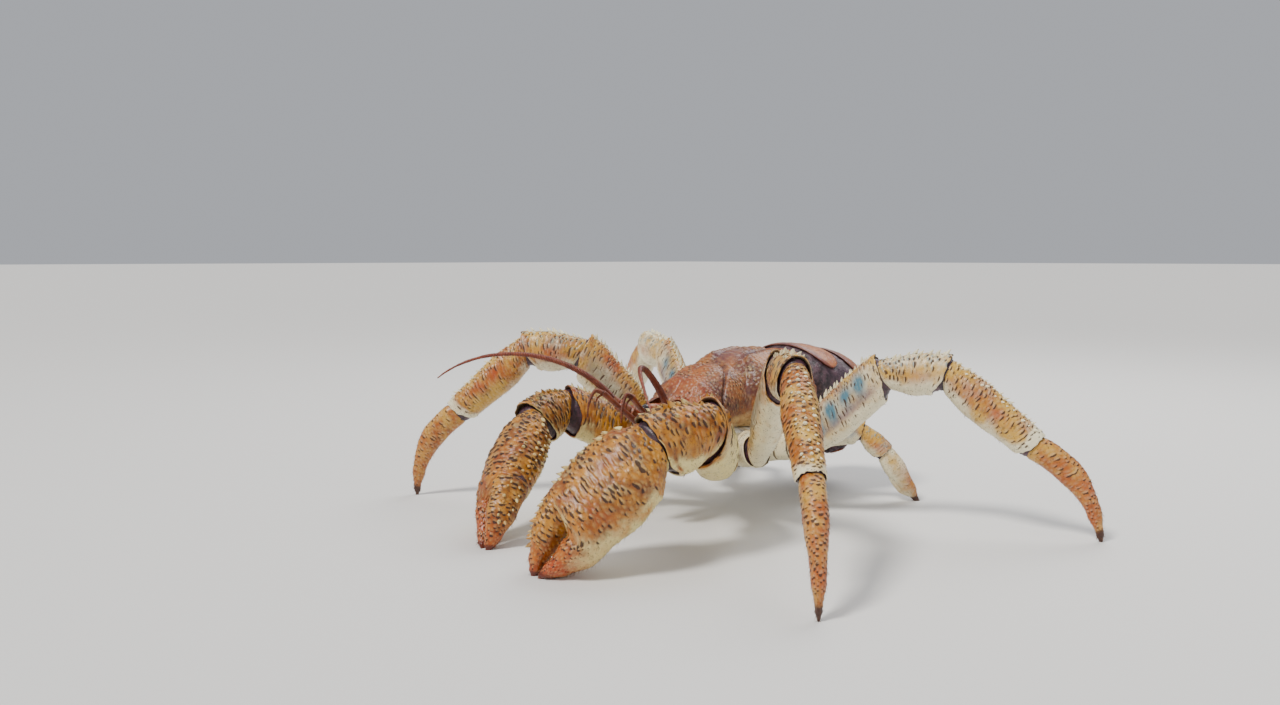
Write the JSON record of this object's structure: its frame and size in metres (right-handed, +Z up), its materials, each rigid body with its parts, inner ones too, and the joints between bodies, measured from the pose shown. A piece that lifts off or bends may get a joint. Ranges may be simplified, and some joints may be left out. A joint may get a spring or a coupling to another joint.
{
  "type": "coconut crab",
  "caption": "Life-size coconut crab standing on its leg tips, with a heavy left claw, spiny walking legs, long feelers and a plated rounded abdomen.",
  "frame": {"origin": "centre of the footprint box, on the floor under the crab", "axes": "+Z up, the head looks along -Y, the crab's left side and its large claw are towards +X"},
  "size_m": [0.6762, 0.493, 0.1851],
  "materials": {
    "carapace_shell": "hard rugose shell, satin, orange-brown with dark flecks",
    "leg_shell": "hard granular shell, satin, cream and orange with dark and blue-grey spots",
    "claw_shell": "hard knobbly shell, satin, rust orange with dark-brown knobs",
    "pale_shell": "smooth hard shell, satin, cream with sparse specks",
    "abdomen_skin": "leathery wrinkled skin, matt, dark purple-brown",
    "feeler": "thin jointed shell, satin, red-brown",
    "eye": "glossy, near black"
  },
  "bodies": {
    "root": {"head_shield": "carapace_shell", "thorax_shield": "carapace_shell", "sternum": "pale_shell", "abdomen": "abdomen_skin", "tail": "abdomen_skin", "eyestalk_left": "feeler", "eye_left": "eye", "antennule_left": "feeler", "antennule_left_flagellum": "feeler", "antenna_left_base": "feeler", "antenna_left_whip": "feeler", "maxilliped_left": "pale_shell", "claw_left_base": "claw_shell", "claw_left_merus": "claw_shell", "claw_left_carpus": "claw_shell", "claw_left_palm": "claw_shell", "claw_left_finger": "claw_shell", "leg2_left_base": "leg_shell", "leg2_left_merus": "leg_shell", "leg2_left_carpus": "leg_shell", "leg2_left_propodus": "leg_shell", "leg2_left_dactyl": "leg_shell", "leg3_left_base": "leg_shell", "leg3_left_merus": "leg_shell", "leg3_left_carpus": "leg_shell", "leg3_left_propodus": "leg_shell", "leg3_left_dactyl": "leg_shell", "leg4_left_base": "leg_shell", "leg4_left_merus": "leg_shell", "leg4_left_carpus": "leg_shell", "leg4_left_hand": "leg_shell", "eyestalk_right": "feeler", "eye_right": "eye", "antennule_right": "feeler", "antennule_right_flagellum": "feeler", "antenna_right_base": "feeler", "antenna_right_whip": "feeler", "maxilliped_right": "pale_shell", "claw_right_base": "claw_shell", "claw_right_merus": "claw_shell", "claw_right_carpus": "claw_shell", "claw_right_palm": "claw_shell", "claw_right_finger": "claw_shell", "leg2_right_base": "leg_shell", "leg2_right_merus": "leg_shell", "leg2_right_carpus": "leg_shell", "leg2_right_propodus": "leg_shell", "leg2_right_dactyl": "leg_shell", "leg3_right_base": "leg_shell", "leg3_right_merus": "leg_shell", "leg3_right_carpus": "leg_shell", "leg3_right_propodus": "leg_shell", "leg3_right_dactyl": "leg_shell", "leg4_right_base": "leg_shell", "leg4_right_merus": "leg_shell", "leg4_right_carpus": "leg_shell", "leg4_right_hand": "leg_shell"}
  },
  "joints": []
}
